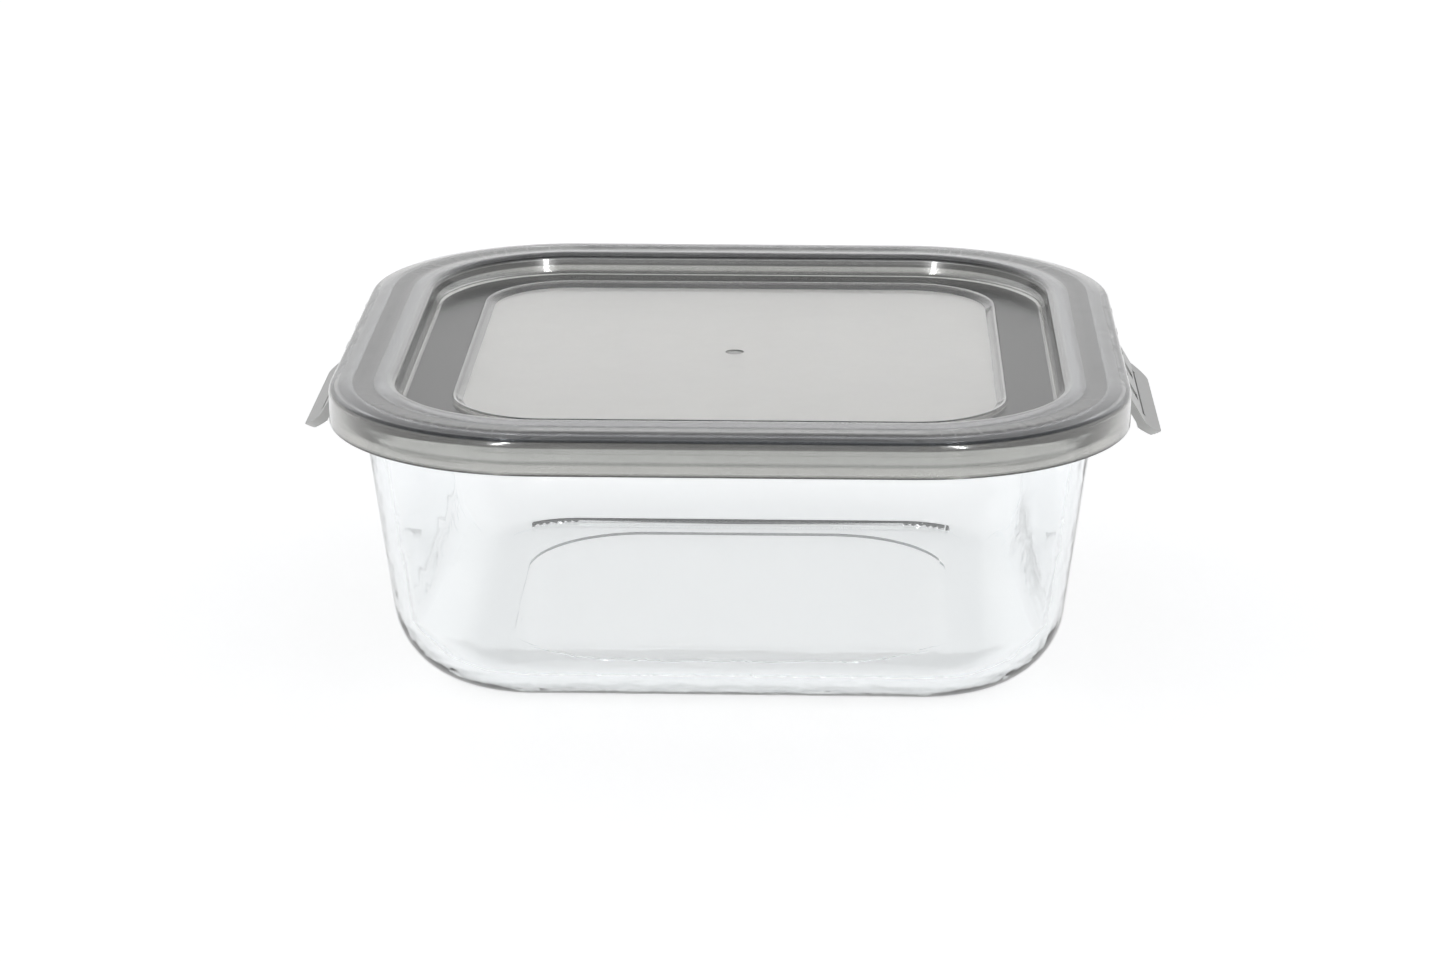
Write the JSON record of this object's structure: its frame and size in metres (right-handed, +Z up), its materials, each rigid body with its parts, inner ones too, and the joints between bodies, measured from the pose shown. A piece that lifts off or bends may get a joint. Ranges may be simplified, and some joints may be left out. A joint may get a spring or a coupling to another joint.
{
  "type": "lidded glass food container",
  "caption": "Square glass food container with a smoky clear clip-on lid, a soft seal ring and side latches that hook under the glass rim.",
  "frame": {"origin": "centre of the underside, on the surface that the container stands on", "axes": "+Z up, out of the bowl; +X towards one latch; -Y is the side seen from the front"},
  "size_m": [0.2192, 0.2, 0.0763],
  "materials": {
    "clear_glass": "clear polished glass",
    "smoky_lid": "smoky translucent plastic, glossy",
    "latch_plastic": "satin grey plastic",
    "seal_silicone": "soft translucent grey silicone"
  },
  "bodies": {
    "bowl": {"glass_bowl": "clear_glass"},
    "lid": {"lid": "smoky_lid", "seal_ring": "seal_silicone"},
    "latch_left": {"latch_left": "latch_plastic"},
    "latch_right": {"latch_right": "latch_plastic"}
  },
  "joints": [
    {"name": "lid_lift", "type": "slide", "parent": "bowl", "child": "lid", "axis": [0, 0, 1], "range_m": [0, 0.12]},
    {"name": "latch_right_hinge", "type": "hinge", "parent": "lid", "child": "latch_right", "pos_m": [0.099, 0, 0.0695], "axis": [0, -1, 0], "range_deg": [-31, 85]},
    {"name": "latch_left_hinge", "type": "hinge", "parent": "lid", "child": "latch_left", "pos_m": [-0.099, 0, 0.0695], "axis": [0, 1, 0], "range_deg": [-31, 85]}
  ]
}
